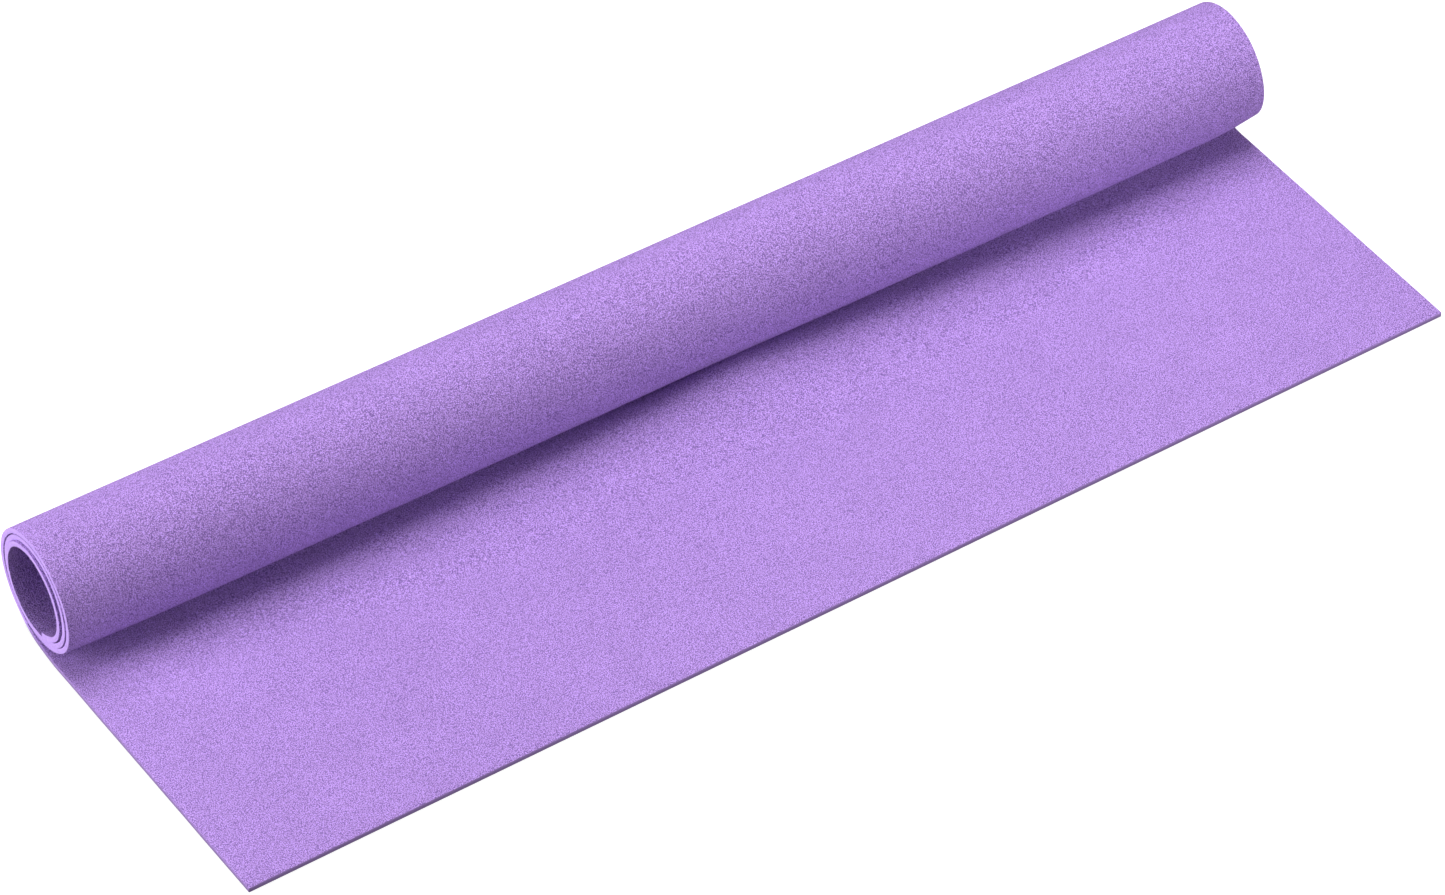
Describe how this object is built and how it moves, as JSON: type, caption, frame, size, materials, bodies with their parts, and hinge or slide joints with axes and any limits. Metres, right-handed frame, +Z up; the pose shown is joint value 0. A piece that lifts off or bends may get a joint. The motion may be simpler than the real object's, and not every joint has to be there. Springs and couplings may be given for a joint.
{
  "type": "craft foam sheet",
  "caption": "Thin lilac craft foam sheet lying on the floor, flat along its front and wound into a loose open roll along its back.",
  "frame": {"origin": "middle of the footprint, on the floor", "axes": "+X along the roll to the viewer's right, -Y towards the free front edge, +Z up"},
  "size_m": [0.5026, 0.163, 0.0487],
  "materials": {
    "foam": "matt closed-cell foam with a fine pebbled skin"
  },
  "bodies": {
    "root": {"foam_sheet": "foam"}
  },
  "joints": []
}
